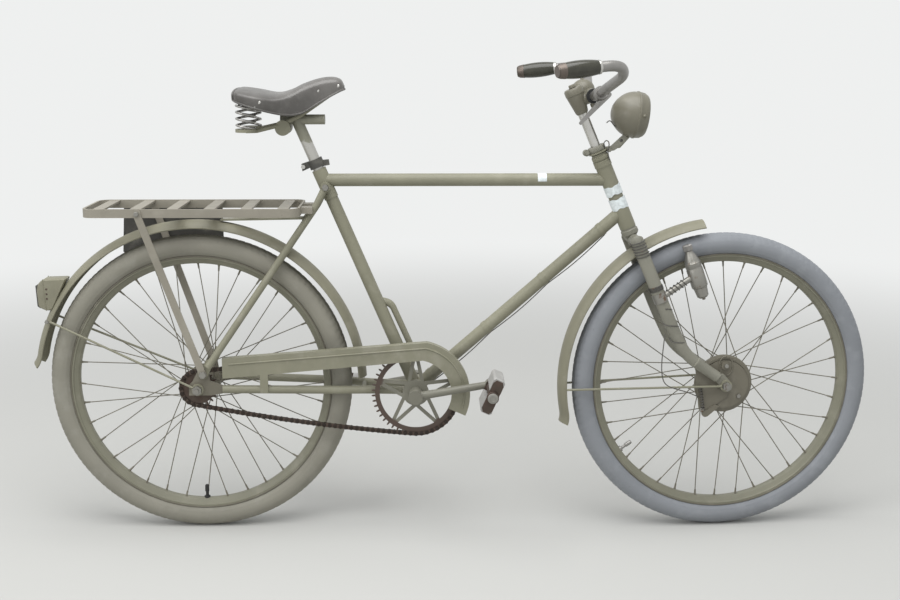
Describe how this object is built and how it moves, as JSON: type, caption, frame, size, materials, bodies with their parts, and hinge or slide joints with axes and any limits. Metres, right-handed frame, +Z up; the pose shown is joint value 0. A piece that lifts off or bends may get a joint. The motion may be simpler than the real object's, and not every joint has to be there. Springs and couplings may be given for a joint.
{
  "type": "military bicycle",
  "caption": "Single-speed military bicycle with a rear rack, sprung leather saddle, half chain guard, mudguards, lamps, bottle dynamo and front drum brake.",
  "frame": {"origin": "on top of the saddle, where the rider sits", "axes": "+X forward, +Y to the rider's left, +Z up"},
  "size_m": [1.9166, 0.6304, 1.0945],
  "materials": {
    "olive_paint": "worn satin",
    "tyre_rubber": "matt, greyed with age",
    "pedal_rubber": "matt, greyed",
    "grip_black": "glossy",
    "leather": "worn, half gloss",
    "rusty_steel": "browned with rust",
    "bare_steel": "dulled",
    "spring_steel": "dark, oiled",
    "dark_paint": "satin",
    "lens_red": "glossy",
    "lamp_glass": "clear"
  },
  "bodies": {
    "frame": {"head_tube": "olive_paint", "top_tube": "olive_paint", "down_tube": "olive_paint", "seat_tube": "olive_paint", "bottom_bracket": "olive_paint", "chain_stays": "olive_paint", "seat_stays": "olive_paint", "dropouts": "olive_paint", "rear_axle": "bare_steel", "stay_bolts": "bare_steel", "rack": "olive_paint", "rack_struts": "olive_paint", "rack_brackets": "olive_paint", "rack_side_plate": "dark_paint", "rear_mudguard": "olive_paint", "rear_mudguard_stays": "olive_paint", "tail_lamp": "olive_paint", "tail_lens": "lens_red", "seat_post": "olive_paint", "seat_post_bracket": "dark_paint", "saddle": "leather", "saddle_springs": "spring_steel", "saddle_frame": "olive_paint", "saddle_cantle": "dark_paint", "chain": "rusty_steel", "chain_guard": "olive_paint"},
    "steering": {"fork": "olive_paint", "front_axle": "bare_steel", "front_mudguard": "olive_paint", "front_mudguard_stays": "olive_paint", "headset": "olive_paint", "stem": "olive_paint", "handlebar": "olive_paint", "grips": "grip_black", "headlamp": "olive_paint", "headlamp_glass": "lamp_glass", "lamp_bracket": "olive_paint", "brake_plate": "olive_paint", "dynamo": "olive_paint", "dynamo_bracket": "bare_steel", "bell": "olive_paint", "brake_lever": "bare_steel"},
    "front_wheel": {"front_tyre": "tyre_rubber", "front_rim": "olive_paint", "front_hub": "olive_paint"},
    "rear_wheel": {"rear_tyre": "tyre_rubber", "rear_rim": "olive_paint", "rear_hub": "olive_paint"},
    "cog": {"rear_sprocket": "rusty_steel"},
    "cranks": {"crankset": "rusty_steel"},
    "pedal_right": {"right_pedal": "rusty_steel", "right_pedal_blocks": "pedal_rubber"},
    "pedal_left": {"left_pedal": "rusty_steel", "left_pedal_blocks": "pedal_rubber"}
  },
  "joints": [
    {"name": "steering_turn", "type": "hinge", "parent": "frame", "child": "steering", "pos_m": [0.77184, 0, -0.29863], "axis": [-0.3907, 0, 0.9205], "range_deg": [-64.2, 55.8]},
    {"name": "front_wheel_spin", "type": "hinge", "parent": "steering", "child": "front_wheel", "pos_m": [0.99484, 0.00476, -0.65807], "axis": [-0.0674, 0.9973, -0.0286], "continuous": true},
    {"name": "rear_wheel_spin", "type": "hinge", "parent": "frame", "child": "rear_wheel", "pos_m": [-0.2, 0, -0.658], "axis": [0, 1, 0], "continuous": true},
    {"name": "crank_spin", "type": "hinge", "parent": "frame", "child": "cranks", "pos_m": [0.292, 0, -0.671], "axis": [0, 1, 0], "continuous": true, "deforming": ["chain"]},
    {"name": "cog_spin", "type": "hinge", "parent": "frame", "child": "cog", "pos_m": [-0.2, 0, -0.658], "axis": [0, 1, 0], "continuous": true},
    {"name": "right_pedal_spin", "type": "hinge", "parent": "cranks", "child": "pedal_right", "pos_m": [0.4604, -0.08, -0.64131], "axis": [0, 1, 0], "continuous": true},
    {"name": "left_pedal_spin", "type": "hinge", "parent": "cranks", "child": "pedal_left", "pos_m": [0.1236, 0.08, -0.70069], "axis": [0, 1, 0], "continuous": true}
  ],
  "couplings": [
    {"joint": "cog_spin", "follows": "crank_spin", "ratio": 2.4}
  ]
}
